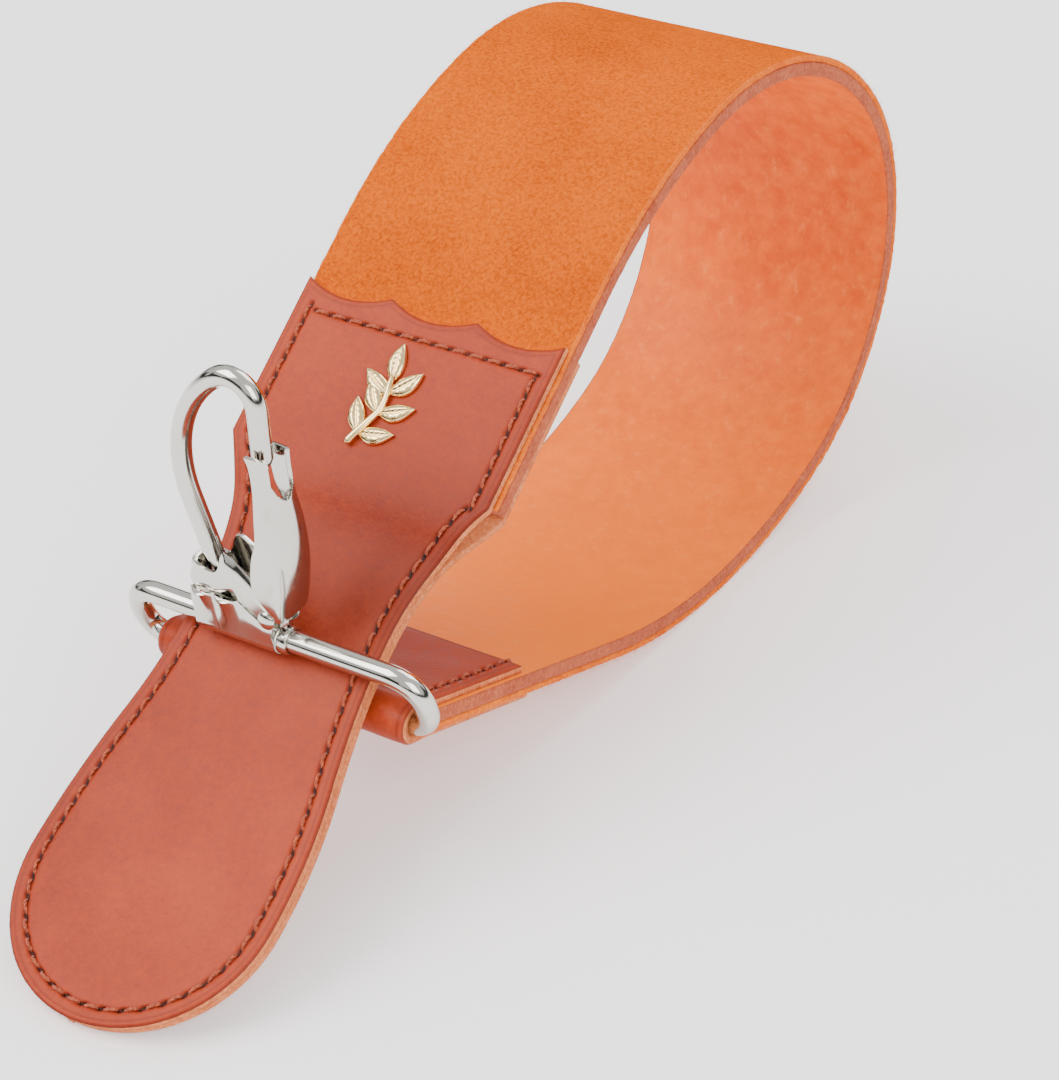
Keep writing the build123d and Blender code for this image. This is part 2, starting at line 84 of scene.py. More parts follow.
def trail(start, heading, run, step):
    """Evenly stepped points and left-hand normals along straights and tangent arcs."""
    y, z = start
    angle = math.radians(heading)
    points, normals = [], []
    for radius, amount in run:
        length = amount if radius == 0 else abs(math.radians(amount)) * radius
        count = max(2, int(round(length / step)))
        turn = 0.0 if radius == 0 else math.radians(amount)
        for i in range(count):
            part = i / count
            a = angle + turn * part
            if radius == 0:
                p = (y + length * part * math.cos(angle), z + length * part * math.sin(angle))
            else:
                side = 1 if turn > 0 else -1
                p = (y + side * radius * (math.sin(a) - math.sin(angle)),
                     z - side * radius * (math.cos(a) - math.cos(angle)))
            points.append(p)
            normals.append((-math.sin(a), math.cos(a)))
        if radius == 0:
            y, z = y + length * math.cos(angle), z + length * math.sin(angle)
        else:
            side = 1 if turn > 0 else -1
            y += side * radius * (math.sin(angle + turn) - math.sin(angle))
            z -= side * radius * (math.cos(angle + turn) - math.cos(angle))
        angle += turn
    points.append((y, z))
    normals.append((-math.sin(angle), math.cos(angle)))
    return np.array(points), np.array(normals)


def lattice(rows, columns, start=0, wrap=False):
    """Quads over a block of vertices, rows by columns."""
    quads = []
    for r in range(rows - 1):
        for c in range(columns if wrap else columns - 1):
            a = start + r * columns + c
            b = start + r * columns + (c + 1) % columns
            quads.append((a, b, b + columns, a + columns))
    return quads


def make(name, points, faces, materials, body, nodes=(), paint=None, values=None):
    """A smooth-shaded mesh piece that rides on a body and stands in for some CAD nodes."""
    mesh = bpy.data.meshes.new(name)
    corners = [tuple(map(float, p)) for p in points]
    mesh.from_pydata(corners, [], [tuple(map(int, f)) for f in faces])
    for material in materials:
        mesh.materials.append(material)
    if paint is not None:
        mesh.polygons.foreach_set("material_index", np.array(paint, np.int32))
    mesh.polygons.foreach_set("use_smooth", [True] * len(mesh.polygons))
    for key, data in (values or {}).items():
        layer = mesh.attributes.new(key, "FLOAT", "POINT")
        layer.data.foreach_set("value", np.array(data, np.float32))
    shape = bmesh.new()
    shape.from_mesh(mesh)
    bmesh.ops.recalc_face_normals(shape, faces=shape.faces)
    shape.to_mesh(mesh)
    shape.free()
    obj = bpy.data.objects.new(name, mesh)
    bpy.context.scene.collection.objects.link(obj)
    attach(obj, body)
    if nodes:
        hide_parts(*nodes)
    return obj


def bumpy(points, scale, amount, seed=0.0):
    """Smooth noise at some points, given in mm."""
    shift = Vector((seed, seed * 0.7, -seed))
    return np.array([noise.noise(Vector(p) * scale + shift) for p in points]) * amount


def spline(points, count):
    """Points along a smooth curve through the given ones."""
    p = np.array(points, float)
    p = np.vstack((2 * p[0] - p[1], p, 2 * p[-1] - p[-2]))
    out = []
    for t in np.linspace(0, len(points) - 1, count):
        i = min(int(t), len(points) - 2)
        f = t - i
        a, b, c, d = p[i:i + 4]
        square, cube = 2 * a - 5 * b + 4 * c - d, 3 * b - a - 3 * c + d
        out.append(0.5 * (2 * b + (c - a) * f + square * f * f + cube * f ** 3))
    return np.array(out)


def tube(path, radius, sides=16, closed=False, ends="flat"):
    """Vertices and faces of a tube along a path, in the path's own units."""
    path = np.array(path, float)
    n = len(path)
    radius = np.broadcast_to(radius, (n,)).copy()
    if closed:
        way = np.roll(path, -1, 0) - np.roll(path, 1, 0)
    else:
        way = np.gradient(path, axis=0)
    way /= np.linalg.norm(way, axis=1)[:, None]
    across = np.cross(way[0], (0.31, 0.52, 0.79))
    across /= np.linalg.norm(across)
    turn = np.linspace(0, 2 * math.pi, sides, endpoint=False)
    rings = []
    for i in range(n):
        across = across - way[i] * (across @ way[i])
        across /= np.linalg.norm(across)
        other = np.cross(way[i], across)
        spokes = np.cos(turn)[:, None] * across + np.sin(turn)[:, None] * other
        rings.append(path[i] + radius[i] * spokes)
    if not closed and ends == "round":
        caps = []
        for end, outward in ((0, -1), (-1, 1)):
            spokes, axis = rings[end] - path[end], outward * way[end] * radius[end]
            caps.append([path[end] + spokes * math.cos(a) + axis * math.sin(a) for a in (0.5, 1.0, 1.35)])
        rings = caps[0][::-1] + rings + caps[1]
    points = np.vstack(rings)
    faces = lattice(len(rings), sides, wrap=True)
    if closed:
        last = (len(rings) - 1) * sides
        offset = int(np.argmin(np.linalg.norm(rings[0] - rings[-1][0], axis=1)))
        for k in range(sides):
            after = (k + 1) % sides
            faces.append((last + k, last + after, (k + 1 + offset) % sides, (k + offset) % sides))
    else:
        faces.append(tuple(range(sides - 1, -1, -1)))
        faces.append(tuple((len(rings) - 1) * sides + k for k in range(sides)))
    return points, faces


def join(shapes):
    """Several (points, faces) as one."""
    points, faces = [], []
    base = 0
    for p, f in shapes:
        points.append(np.array(p))
        faces += [tuple(base + i for i in face) for face in f]
        base += len(p)
    return np.vstack(points), faces


def islands(node):
    """Middle and long direction of each separate solid of a CAD node, in mm."""
    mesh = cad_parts[node].data
    parent = list(range(len(mesh.vertices)))

    def root(i):
        while parent[i] != i:
            parent[i] = parent[parent[i]]
            i = parent[i]
        return i

    at = {}
    for v in mesh.vertices:
        key = tuple(round(x * 1e5) for x in v.co)
        parent[v.index] = at.setdefault(key, v.index)
    for e in mesh.edges:
        a, b = root(e.vertices[0]), root(e.vertices[1])
        if a != b:
            parent[a] = b
    groups = {}
    for v in mesh.vertices:
        groups.setdefault(root(v.index), []).append(tuple(v.co))
    found = []
    for group in groups.values():
        p = np.array(group) * 1000
        middle = (p.min(0) + p.max(0)) / 2
        way = np.linalg.svd(p - p.mean(0), full_matrices=False)[2][0]
        found.append((middle, way))
    return found


# ---------------------------------------------------------------- materials
def material(name):
    m = bpy.data.materials.new(name)
    m.use_nodes = True
    return m, m.node_tree, m.node_tree.nodes["Principled BSDF"]


def node(tree, kind, inputs=None, **settings):
    """A shader node with its settings, and with its inputs set or linked."""
    n = tree.nodes.new(kind)
    for key, value in settings.items():
        setattr(n, key, value)
    for key, value in (inputs or {}).items():
        if isinstance(value, bpy.types.NodeSocket):
            tree.links.new(value, n.inputs[key])
        else:
            n.inputs[key].default_value = value
    return n


def place_of(tree):
    return node(tree, "ShaderNodeTexCoord").outputs["Object"]


def grain(tree, scale, detail=4.0, rough=0.55, stretch=None):
    """Noise laid out in the piece's own space."""
    at = place_of(tree)
    if stretch:
        at = node(tree, "ShaderNodeMapping", {"Vector": at, "Scale": stretch}).outputs[0]
    inputs = {"Vector": at, "Scale": scale, "Detail": detail, "Roughness": rough}
    return node(tree, "ShaderNodeTexNoise", inputs).outputs["Fac"]


def cellular(tree, scale):
    inputs = {"Vector": place_of(tree), "Scale": scale}
    return node(tree, "ShaderNodeTexVoronoi", inputs).outputs["Distance"]


def ramp(tree, value, stops):
    n = node(tree, "ShaderNodeValToRGB", {"Fac": value})
    while len(n.color_ramp.elements) < len(stops):
        n.color_ramp.elements.new(0.5)
    for element, (at, colour) in zip(n.color_ramp.elements, stops):
        element.position = at
        element.color = (*colour, 1)
    return n.outputs["Color"]


def blend(tree, amount, a, b):
    n = node(tree, "ShaderNodeMix", data_type="RGBA")
    for socket, value in ((n.inputs[0], amount), (n.inputs[6], a), (n.inputs[7], b)):
        if isinstance(value, bpy.types.NodeSocket):
            tree.links.new(value, socket)
        elif isinstance(value, tuple):
            socket.default_value = (*value, 1)
        else:
            socket.default_value = value
    return n.outputs[2]


def bump(tree, shader, layers):
    """Stack bumps of (height, strength, distance in metres)."""
    normal = None
    for height, strength, distance in layers:
        n = node(tree, "ShaderNodeBump", {"Height": height, "Strength": strength, "Distance": distance})
        if normal is not None:
            tree.links.new(normal, n.inputs["Normal"])
        normal = n.outputs["Normal"]
    tree.links.new(normal, shader.inputs["Normal"])


def attribute(tree, name):
    return node(tree, "ShaderNodeAttribute", attribute_name=name).outputs["Fac"]


def srgb(r, g, b):
    """A colour from its everyday values, deepened to stand up to the bright studio light."""
    return tuple((((c / 255 + 0.055) / 1.055) ** 2.4) ** 1.42 for c in (r, g, b))


def suede():
    m, t, s = material("suede")
    broad = grain(t, 38, 5, 0.6)
    nap = grain(t, 1500, 5, 0.7)
    fibre = grain(t, 2600, 3, 0.6, (1, 1, 0.35))
    patches = ((0.34, srgb(214, 112, 1)), (0.5, srgb(234, 130, 2)), (0.66, srgb(244, 140, 4)))
    naps = ((0.34, srgb(178, 84, 1)), (0.52, srgb(236, 132, 2)), (0.72, srgb(252, 166, 20)))
    colour = blend(t, 0.5, ramp(t, broad, patches), ramp(t, nap, naps))
    t.links.new(colour, s.inputs["Base Color"])
    s.inputs["Roughness"].default_value = 0.95
    s.inputs["Specular IOR Level"].default_value = 0.0
    s.inputs["Sheen Weight"].default_value = 0.04
    s.inputs["Sheen Tint"].default_value = (1.0, 0.6, 0.2, 1)
    bump(t, s, [(nap, 0.95, 0.0006), (fibre, 0.6, 0.0003)])
    return m


def raw(name, dark, mid, light):
    """Cut leather: layered fibres along the edge."""
    m, t, s = material(name)
    streak = grain(t, 1300, 6, 0.7)
    patch = grain(t, 240, 4, 0.6)
    fibres = grain(t, 1900, 3, 0.6)
    colour = ramp(t, streak, [(0.32, dark), (0.52, mid), (0.7, light)])
    colour = blend(t, 0.3, colour, ramp(t, patch, [(0.3, dark), (0.7, light)]))
    t.links.new(colour, s.inputs["Base Color"])
    s.inputs["Roughness"].default_value = 0.9
    s.inputs["Specular IOR Level"].default_value = 0.25
    bump(t, s, [(streak, 0.8, 0.0004), (fibres, 0.6, 0.00025)])
    return m


def smooth_tan():
    m, t, s = material("smooth_tan")
    broad = grain(t, 22, 4, 0.6)
    mottle = grain(t, 260, 5, 0.65)
    pores = cellular(t, 1100.0)
    flecks = ramp(t, grain(t, 420, 6, 0.75, (1, 1, 0.6)), [(0.54, (0, 0, 0)), (0.74, (1, 1, 1))])
    patches = ((0.35, srgb(222, 114, 34)), (0.5, srgb(234, 126, 42)), (0.65, srgb(244, 138, 52)))
    mottles = ((0.35, srgb(212, 102, 32)), (0.65, srgb(252, 162, 78)))
    colour = blend(t, 0.35, ramp(t, broad, patches), ramp(t, mottle, mottles))
    # painted light: the smooth ply lightens towards the end cap
    colour = blend(t, attribute(t, "painted_light"), colour, srgb(255, 166, 60))
    share = node(t, "ShaderNodeMath", {0: flecks, 1: 0.4}, operation="MULTIPLY").outputs[0]
    colour = blend(t, share, colour, srgb(255, 190, 120))
    t.links.new(colour, s.inputs["Base Color"])
    t.links.new(ramp(t, mottle, [(0.3, (0.42,) * 3), (0.7, (0.6,) * 3)]), s.inputs["Roughness"])
    s.inputs["Specular IOR Level"].default_value = 0.14
    bump(t, s, [(pores, 0.3, 0.00015), (mottle, 0.3, 0.0003)])
    return m


def handle_leather():
    m, t, s = material("handle_leather")
    broad = grain(t, 26, 4, 0.55)
    fine = grain(t, 700, 6, 0.7)
    cells = cellular(t, 1500.0)
    patches = ((0.34, srgb(168, 72, 42)), (0.52, srgb(184, 86, 54)), (0.68, srgb(196, 98, 64)))
    grains = ((0.3, srgb(152, 60, 34)), (0.7, srgb(214, 118, 80)))
    colour = blend(t, 0.3, ramp(t, broad, patches), ramp(t, fine, grains))
    # painted shade: darkens the face cover's neck, most towards its right side
    colour = blend(t, attribute(t, "painted_shade"), colour, srgb(110, 36, 20))
    colour = blend(t, attribute(t, "edge"), colour, srgb(104, 36, 22))
    # painted shade: the needle holes are darkened to near black
    colour = blend(t, attribute(t, "pit"), colour, srgb(34, 10, 6))
    t.links.new(colour, s.inputs["Base Color"])
    t.links.new(ramp(t, fine, [(0.3, (0.4,) * 3), (0.7, (0.56,) * 3)]), s.inputs["Roughness"])
    s.inputs["Specular IOR Level"].default_value = 0.2
    bump(t, s, [(cells, 0.3, 0.00012), (fine, 0.2, 0.00015)])
    return m


def thread_cloth():
    m, t, s = material("thread")
    twist = grain(t, 2400, 3, 0.6)
    colour = ramp(t, twist, [(0.3, srgb(140, 62, 26)), (0.7, srgb(214, 118, 62))])
    t.links.new(colour, s.inputs["Base Color"])
    s.inputs["Roughness"].default_value = 0.6
    s.inputs["Sheen Weight"].default_value = 0.2
    bump(t, s, [(twist, 0.5, 0.0001)])
    return m


def metal(name, colour, rough, spread):
    m, t, s = material(name)
    cloud = grain(t, 60, 3, 0.5)
    marks = grain(t, 900, 3, 0.5, (1, 1, 0.1))
    low = tuple(c * 0.93 for c in colour)
    t.links.new(ramp(t, cloud, [(0.35, low), (0.65, colour)]), s.inputs["Base Color"])
    polish = ramp(t, cloud, [(0.35, (rough,) * 3), (0.7, (rough + spread,) * 3)])
    t.links.new(polish, s.inputs["Roughness"])
    s.inputs["Metallic"].default_value = 1.0
    bump(t, s, [(marks, 0.04, 0.0001)])
    return m


SUEDE = suede()
SUEDE_CUT = raw("suede_cut", srgb(214, 108, 6), srgb(240, 138, 18), srgb(254, 172, 60))
SMOOTH = smooth_tan()
SMOOTH_CUT = raw("smooth_cut", srgb(176, 96, 70), srgb(200, 120, 88), srgb(224, 148, 112))
HIDE = handle_leather()
HIDE_CUT = raw("handle_cut", srgb(196, 116, 74), srgb(226, 148, 102), srgb(248, 182, 136))
THREAD = thread_cloth()
NICKEL = metal("nickel", (0.62, 0.60, 0.55), 0.09, 0.08)
GILT = metal("gilt", (0.98, 0.72, 0.34), 0.12, 0.08)
STEEL = metal("spring_steel", (0.55, 0.55, 0.56), 0.22, 0.1)


# ---------------------------------------------------------------- fuzz
def fuzz(name, roots, outs, ways, length, count, mat):
    """Short curved fibres standing off a cut edge. Roots are in mm."""
    points, faces = [], []
    pick = dice.integers(0, len(roots), count)
    for i in pick:
        root = roots[i] + dice.normal(0, 0.12, 3)
        out = outs[i] + dice.normal(0, 0.55, 3)
        out /= np.linalg.norm(out)
        bend = dice.normal(0, 0.5, 3)
        reach = length * dice.uniform(0.35, 1.0)
        side = np.cross(out, ways[i])
        side = side / max(np.linalg.norm(side), 1e-6) * 0.028
        base = len(points)
        for k in range(4):
            f = k / 3
            at = root + out * reach * f + bend * reach * f * f * 0.6
            points += [(at - side * (1 - 0.8 * f)) * MM, (at + side * (1 - 0.8 * f)) * MM]
        faces += [(a, a + 1, a + 3, a + 2) for a in (base, base + 2, base + 4)]
    make(name, points, faces, [mat], "strop")


# ---------------------------------------------------------------- strap
def strip(name, low, high, face_high, face_mat, cut_mat, node_name, wave):
    """One ply of the strap with softened, slightly uneven edges. Returns where its fray grows."""
    line, normal = trail((-30.0, -COVER), 0, STRAP_RUN, 0.7)
    run = np.concatenate(([0], np.cumsum(np.linalg.norm(np.diff(line, axis=0), axis=1))))
    soft = min(0.35, (high - low) * 0.3)
    face_x = np.linspace(-STRAP_HALF + soft, STRAP_HALF - soft, 46)
    corner = np.linspace(0, math.pi / 2, 4)[1:]
    side = STRAP_HALF - soft
    top, base = high - soft, low + soft
    rise = (top - base) / 4
    section = [(x, high) for x in face_x]
    section += [(side + soft * math.sin(a), top + soft * math.cos(a)) for a in corner]
    section += [(STRAP_HALF, top - rise * k) for k in (1, 2, 3)]
    section += [(side + soft * math.cos(a), base - soft * math.sin(a)) for a in (0, *corner)]
    section += [(x, low) for x in face_x[::-1][1:]]
    section += [(-side - soft * math.sin(a), base - soft * math.cos(a)) for a in corner]
    section += [(-STRAP_HALF, base + rise * k) for k in (1, 2, 3)]
    section += [(-side - soft * math.cos(a), top + soft * math.sin(a)) for a in (0, *corner[:-1])]
    section = np.array(section)
    columns = len(section)
    x = np.broadcast_to(section[:, 0], (len(line), columns)).copy()
    h = np.broadcast_to(section[:, 1], (len(line), columns)).copy()
    s = np.broadcast_to(run[:, None], x.shape)
    flat = np.stack((s.ravel(), x.ravel(), h.ravel()), 1)
    near_edge = np.clip((np.abs(x) - STRAP_HALF + 1.2) / 1.2, 0, 1)
    ragged = (bumpy(flat, 0.55, 0.16, 3) + bumpy(flat, 1.7, 0.12, 7)).reshape(x.shape)
    x += np.sign(x) * (ragged - 0.12) * near_edge * wave
    skin = (bumpy(flat, 0.06, 0.10, 1) + bumpy(flat, 0.9, 0.035 * wave, 5)).reshape(x.shape)
    facing = 1 if face_high else -1
    on_face = np.abs(section[:, 1] - (high if face_high else low)) < 1e-6
    on_face &= np.abs(section[:, 0]) < STRAP_HALF - 0.01
    h += np.where(on_face, (skin - 0.06) * facing, 0)
    y = line[:, :1] + normal[:, :1] * h
    z = line[:, 1:] + normal[:, 1:] * h
    points = place(x, y, z)
    faces = lattice(len(line), columns, wrap=True)
    middles = np.abs(section[:, 0] + np.roll(section[:, 0], -1)) / 2
    paint = list((middles > side - 0.01).astype(int)) * (len(line) - 1)
    faces.append(tuple(range(columns - 1, -1, -1)))
    faces.append(tuple((len(line) - 1) * columns + c for c in range(columns)))
    paint += [1, 1]
    share = run / run[-1]
    # painted light on the smooth ply, rising over the second half of the strap towards the end cap
    painted_light = np.clip((share - 0.5) / 0.35, 0, 1) * 0.85
    values = {"painted_light": np.repeat(painted_light, columns)}
    make(name, points, faces, [face_mat, cut_mat], "strop", [node_name], paint, values)
    roots, outs, ways = [], [], []
    centre = (low + high) / 2
    for i in range(30, len(line) - 50):
        off = ALONG * normal[i, 0] + OFF_FACE * normal[i, 1]
        for hand in (1, -1):
            for level in (low + 0.15, centre, high - 0.1):
                p = line[i] + normal[i] * level
                roots.append(place(hand * (STRAP_HALF - 0.12), p[0], p[1])[0] / MM)
                lift = 0.5 * facing if (level > centre) == face_high else 0.0
                outs.append(ACROSS * hand + off * lift)
                ways.append(-ALONG * normal[i, 1] + OFF_FACE * normal[i, 0])
    return np.array(roots), np.array(outs), np.array(ways)


roots, outs, ways = strip("strap_suede", -SUEDE_PLY, -GLUE, True, SUEDE, SUEDE_CUT,
                          "strap_suede_ply", 1.0)
fuzz("suede_fray", roots, outs, ways, 0.95, 5200, SUEDE_CUT)
roots, outs, ways = strip("strap_smooth", GLUE - STRAP, -SUEDE_PLY - GLUE, False, SMOOTH, SMOOTH_CUT,
                          "strap_smooth_ply", 0.45)
fuzz("smooth_fray", roots, outs, ways, 0.45, 1500, SMOOTH_CUT)


# ---------------------------------------------------------------- stitches
def stitches(name, node_name, up):
    """Twisted two-strand stitches that dip into the leather at both ends."""
    shapes = []
    for middle, way in islands(node_name):
        way = way - up * (way @ up)
        way /= np.linalg.norm(way)
        side = np.cross(up, way)
        lean = 0.10
        way = way * math.cos(lean) + side * math.sin(lean)
        side = np.cross(up, way)
        phase = dice.uniform(0, 6.28)
        t = np.linspace(-1, 1, 12)
        for strand in (0, math.pi):
            spin = t * 4.2 + phase + strand
            rise = 0.18 - 0.6 * np.abs(t) ** 2.6
            path = (middle - up * 0.17 + t[:, None] * 1.22 * way + rise[:, None] * up
                    + 0.125 * (np.cos(spin)[:, None] * side + np.sin(spin)[:, None] * up))
            p, f = tube(path, 0.185, 7)
            shapes.append((p * MM, f))
    points, faces = join(shapes)
    make(name, points, faces, [THREAD], "strop", [node_name])


def spots(node_name, origin, along):
    """Stitch middles and directions, across the leather and along it."""
    found = islands(node_name)
    return np.array([(at[0], (at - origin) @ along, way[0], way @ along) for at, way in found])


def stitch_marks(x, y, marks):
    """How deep in the stitch groove, and in a needle hole, each point is."""
    groove = np.zeros_like(x)
    pit = np.zeros_like(x)
    for mx, my, wx, wy in marks:
        size = math.hypot(wx, wy)
        wx, wy = wx / size, wy / size
        near = (np.abs(x - mx) < 3.2) & (np.abs(y - my) < 3.2)
        if not near.any():
            continue
        dx, dy = x[near] - mx, y[near] - my
        along, off = dx * wx + dy * wy, dx * wy - dy * wx
        over = np.maximum(np.abs(along) - STITCH_PITCH / 2, 0)
        groove[near] = np.maximum(groove[near], np.exp(-((off / 0.5) ** 2 + (over / 0.5) ** 2)))
        for end in (-1, 1):
            hole = np.exp(-(((along - end * 1.5) / 0.6) ** 2 + ((off - end * 0.12) / 0.3) ** 2))
            pit[near] = np.maximum(pit[near], hole)
    return groove, pit


# ---------------------------------------------------------------- handle covers
def half_width(y):
    """The covers' half-width at y."""
    up = (COVER_HALF - NECK_HALF, SHOULDER_Y - NECK_Y)
    down = ((PADDLE_HALF - NECK_HALF) / 2, (NECK_Y - PADDLE_Y) / 2)
    r_up = (up[0] ** 2 + up[1] ** 2) / (2 * up[0])
    r_down = (down[0] ** 2 + down[1] ** 2) / (2 * down[0])
    y = np.asarray(y, float)

    def bow(r, d):
        return r - np.sqrt(np.maximum(r * r - d * d, 0))

    above = (y > SHOULDER_Y, y > NECK_Y, y > (NECK_Y + PADDLE_Y) / 2, y > PADDLE_Y)
    widths = (
        np.full(y.shape, COVER_HALF),
        NECK_HALF + bow(r_up, y - NECK_Y),
        NECK_HALF + bow(r_down, y - NECK_Y),
        PADDLE_HALF - bow(r_down, y - PADDLE_Y),
    )
    return np.select(above, widths, np.sqrt(np.maximum(PADDLE_HALF ** 2 - (y - PADDLE_Y) ** 2, 0)))


def scallop(x):
    """How far the scalloped end is cut back at x."""
    span = 2 * COVER_HALF / 3
    r = ((span / 2) ** 2 + SCALLOP_DEPTH ** 2) / (2 * SCALLOP_DEPTH)
    local = (np.clip(x, -COVER_HALF, COVER_HALF) + COVER_HALF) % span - span / 2
    local = np.where(np.abs(x) >= COVER_HALF - 1e-6, span / 2, local)
    return -(np.sqrt(r * r - local ** 2) - (r - SCALLOP_DEPTH))


def cover(name, marks, face_side):
    """One handle cover: its shaped outer skin, frayed cut edge and plain inner side."""
    bend = COVER_BEND * face_side
    paddle_r = 300.0 if face_side > 0 else 303.6
    start = (0.0, 0.0) if face_side > 0 else (0.0, -2 * COVER - STRAP)
    bends = ((COVER_BEND_R, bend), (COVER_BEND_R, -bend))
    run = ((0, -SHOULDER_Y), *bends, (0, 25.0), (paddle_r, -PADDLE_TURN - 0.6))
    line, normal = trail(start, 180, run, 0.5)
    inner = line + normal * (COVER - GLUE) * face_side
    inset = np.concatenate(((0, 0.06, 0.15, 0.28, 0.45, 0.65, 0.85, 1.1), np.linspace(1.35, 5.0, 13)))
    top = -np.concatenate(((0, 0.06, 0.15, 0.28, 0.45, 0.7), np.arange(1.0, -PADDLE_Y, 0.36)))
    sweep = np.linspace(0, math.pi / 2, 96)
    rows = np.concatenate((top, PADDLE_Y - PADDLE_HALF * np.sin(sweep)[:-1], [TIP_Y + 0.004]))
    width = half_width(rows)
    near = inset[None, :] * np.minimum(1, width / 9)[:, None]
    centre = np.linspace(1, 0, 44)[1:]
    right = np.concatenate((width[:, None] - near, (width - near[:, -1])[:, None] * centre[None, :]), 1)
    x = np.concatenate((-right, right[:, -2::-1]), 1)
    y = rows[:, None] + scallop(x) * np.clip(1 + rows / 9, 0, 1)[:, None] ** 1.5
    outline_y = np.linspace(0, TIP_Y, 900)
    tip_turn = np.linspace(0, math.pi / 2, 90)
    tip = (PADDLE_HALF * np.cos(tip_turn), PADDLE_Y - PADDLE_HALF * np.sin(tip_turn))
    edge_pts = np.concatenate((np.stack((half_width(outline_y), outline_y), 1), np.stack(tip, 1)))
    gap = np.full(x.size, 99.0)
    flat = np.stack((np.abs(x).ravel(), y.ravel()), 1)
    for k in range(0, len(flat), 4000):
        part = flat[k:k + 4000]
        gap[k:k + 4000] = np.sqrt(((part[:, None, :] - edge_pts[None]) ** 2).sum(2)).min(1)
    gap = np.minimum(gap.reshape(x.shape), np.abs(scallop(x) - y))
    groove, pit = stitch_marks(x.ravel(), y.ravel(), marks)
    groove, pit = groove.reshape(x.shape), pit.reshape(x.shape)
    noise_at = np.stack((x.ravel(), y.ravel(), np.full(x.size, 4.0 * face_side)), 1)
    swell = (bumpy(noise_at, 0.05, 0.22, 2) + bumpy(noise_at, 0.35, 0.05, 9)).reshape(x.shape)
    round_off = 0.42 * np.clip(1 - gap / 0.75, 0, 1) ** 2
    crease = 0.04 * np.exp(-((gap - 1.15) / 0.22) ** 2)
    drop = round_off + crease + 0.20 * groove + 0.42 * pit + 0.08 * np.exp(-((gap - 3) / 1.8) ** 2)
    height = swell * np.clip(gap / 4, 0, 1) * 0.7 - drop
    z = np.interp(y, line[::-1, 0], line[::-1, 1]) + face_side * height
    count_r, count_c = x.shape
    points = [place(x, y, z)]
    faces = lattice(count_r, count_c)
    paint = [0] * len(faces)
    loop = [r * count_c for r in range(count_r)]
    loop += [(count_r - 1) * count_c + c for c in range(1, count_c)]
    loop += [r * count_c + count_c - 1 for r in range(count_r - 2, -1, -1)]
    loop += list(range(count_c - 2, 0, -1))
    bx, by = x.ravel()[loop], y.ravel()[loop]
    base_z = z.ravel()[loop]
    low_z = np.interp(by, inner[::-1, 0], inner[::-1, 1])
    out = np.stack((bx, by - np.clip(by, PADDLE_Y, -14)), 1)
    out /= np.maximum(np.linalg.norm(out, axis=1), 1e-6)[:, None]
    start_index = x.size
    previous = np.array(loop)
    shares = (0.2, 0.4, 0.6, 0.8, 1.0)
    for k, share in enumerate(shares):
        level = base_z + (low_z - base_z) * share
        rough = bumpy(np.stack((bx, by, level), 1), 0.9, 0.16, 4 + k)
        push = 0.10 * math.sin(share * math.pi) + rough * (0.6 if share < 1 else 0.2) - 0.10
        points.append(place(bx + out[:, 0] * push, by + out[:, 1] * push, level))
        ring = start_index + np.arange(len(loop))
        for i in range(len(loop)):
            j = (i + 1) % len(loop)
            faces.append((previous[i], previous[j], ring[j], ring[i]))
            paint.append(1)
        previous = ring
        start_index += len(loop)
    left = {r: previous[r] for r in range(count_r)}
    right_side = {count_r - 1 - i: previous[count_r - 1 + count_c - 1 + i] for i in range(count_r)}
    deep = int(np.argmax(rows < -2.6))
    for r in range(deep, count_r - 2):
        faces.append((left[r], right_side[r], right_side[r + 1], left[r + 1]))
        paint.append(1)
    top_row = [previous[0]] + [previous[(-c) % len(loop)] for c in range(1, count_c)]
    top_row += [right_side[r] for r in range(1, deep + 1)] + [left[r] for r in range(deep, 0, -1)]
    faces.append(tuple(top_row))
    last_row = [previous[count_r - 1 + c] for c in range(count_c)]
    faces.append((left[count_r - 2],) + tuple(last_row) + (right_side[count_r - 2],))
    paint += [1, 1]
    # painted shade on the face cover's neck, strongest towards its right side; the back cover gets none
    painted_shade = np.clip((x + 15) / 26, 0, 1) * np.exp(-((y + 46) / 22) ** 2) * (0.5 if face_side > 0 else 0.0)
    burn = np.exp(-((gap - 1.15) / 0.25) ** 2) * 0.3 + np.clip(1 - gap / 0.55, 0, 1) * 0.75
    burn = np.clip(burn + groove * 0.18, 0, 1)
    rest = np.zeros(len(shares) * len(loop))
    # the pit values paint shade into the needle holes
    values = {"pit": np.concatenate((np.clip(pit * 1.25, 0, 1).ravel(), rest)),
              "edge": np.concatenate((burn.ravel(), rest)),
              "painted_shade": np.concatenate((painted_shade.ravel(), rest))}
    make(f"{name}_skin", np.vstack(points), faces, [HIDE, HIDE_CUT], "strop", [f"{name}_cover"],
         paint, values)
    roots = points[3] / MM
    outs = out[:, :1] * ACROSS + out[:, 1:] * ALONG
    ways = np.broadcast_to(OFF_FACE, roots.shape)
    fuzz(f"{name}_fray", roots, outs, ways, 0.34, 900, HIDE_CUT)


cover("handle_face", spots("handle_needle_thread", ORIGIN, ALONG), 1)
cover("handle_back", spots("handle_bobbin_thread", ORIGIN, ALONG), -1)
stitches("handle_face_stitches", "handle_needle_thread", OFF_FACE)
stitches("handle_back_stitches", "handle_bobbin_thread", -OFF_FACE)


# ---------------------------------------------------------------- end cap
BACK = ALONG * math.cos(BACK_ANGLE) + OFF_FACE * math.sin(BACK_ANGLE)
CAP_UP = np.cross(ACROSS, BACK)


def cap_at(x, a, h):
    """Points of the cap's frame: across, back along the strap from the bar, and off the strap."""
    x, a, h = np.broadcast_arrays(x, a, h)
    p = RING_LOW + x[..., None] * ACROSS + a[..., None] * BACK + h[..., None] * CAP_UP
    return p.reshape(-1, 3) * MM


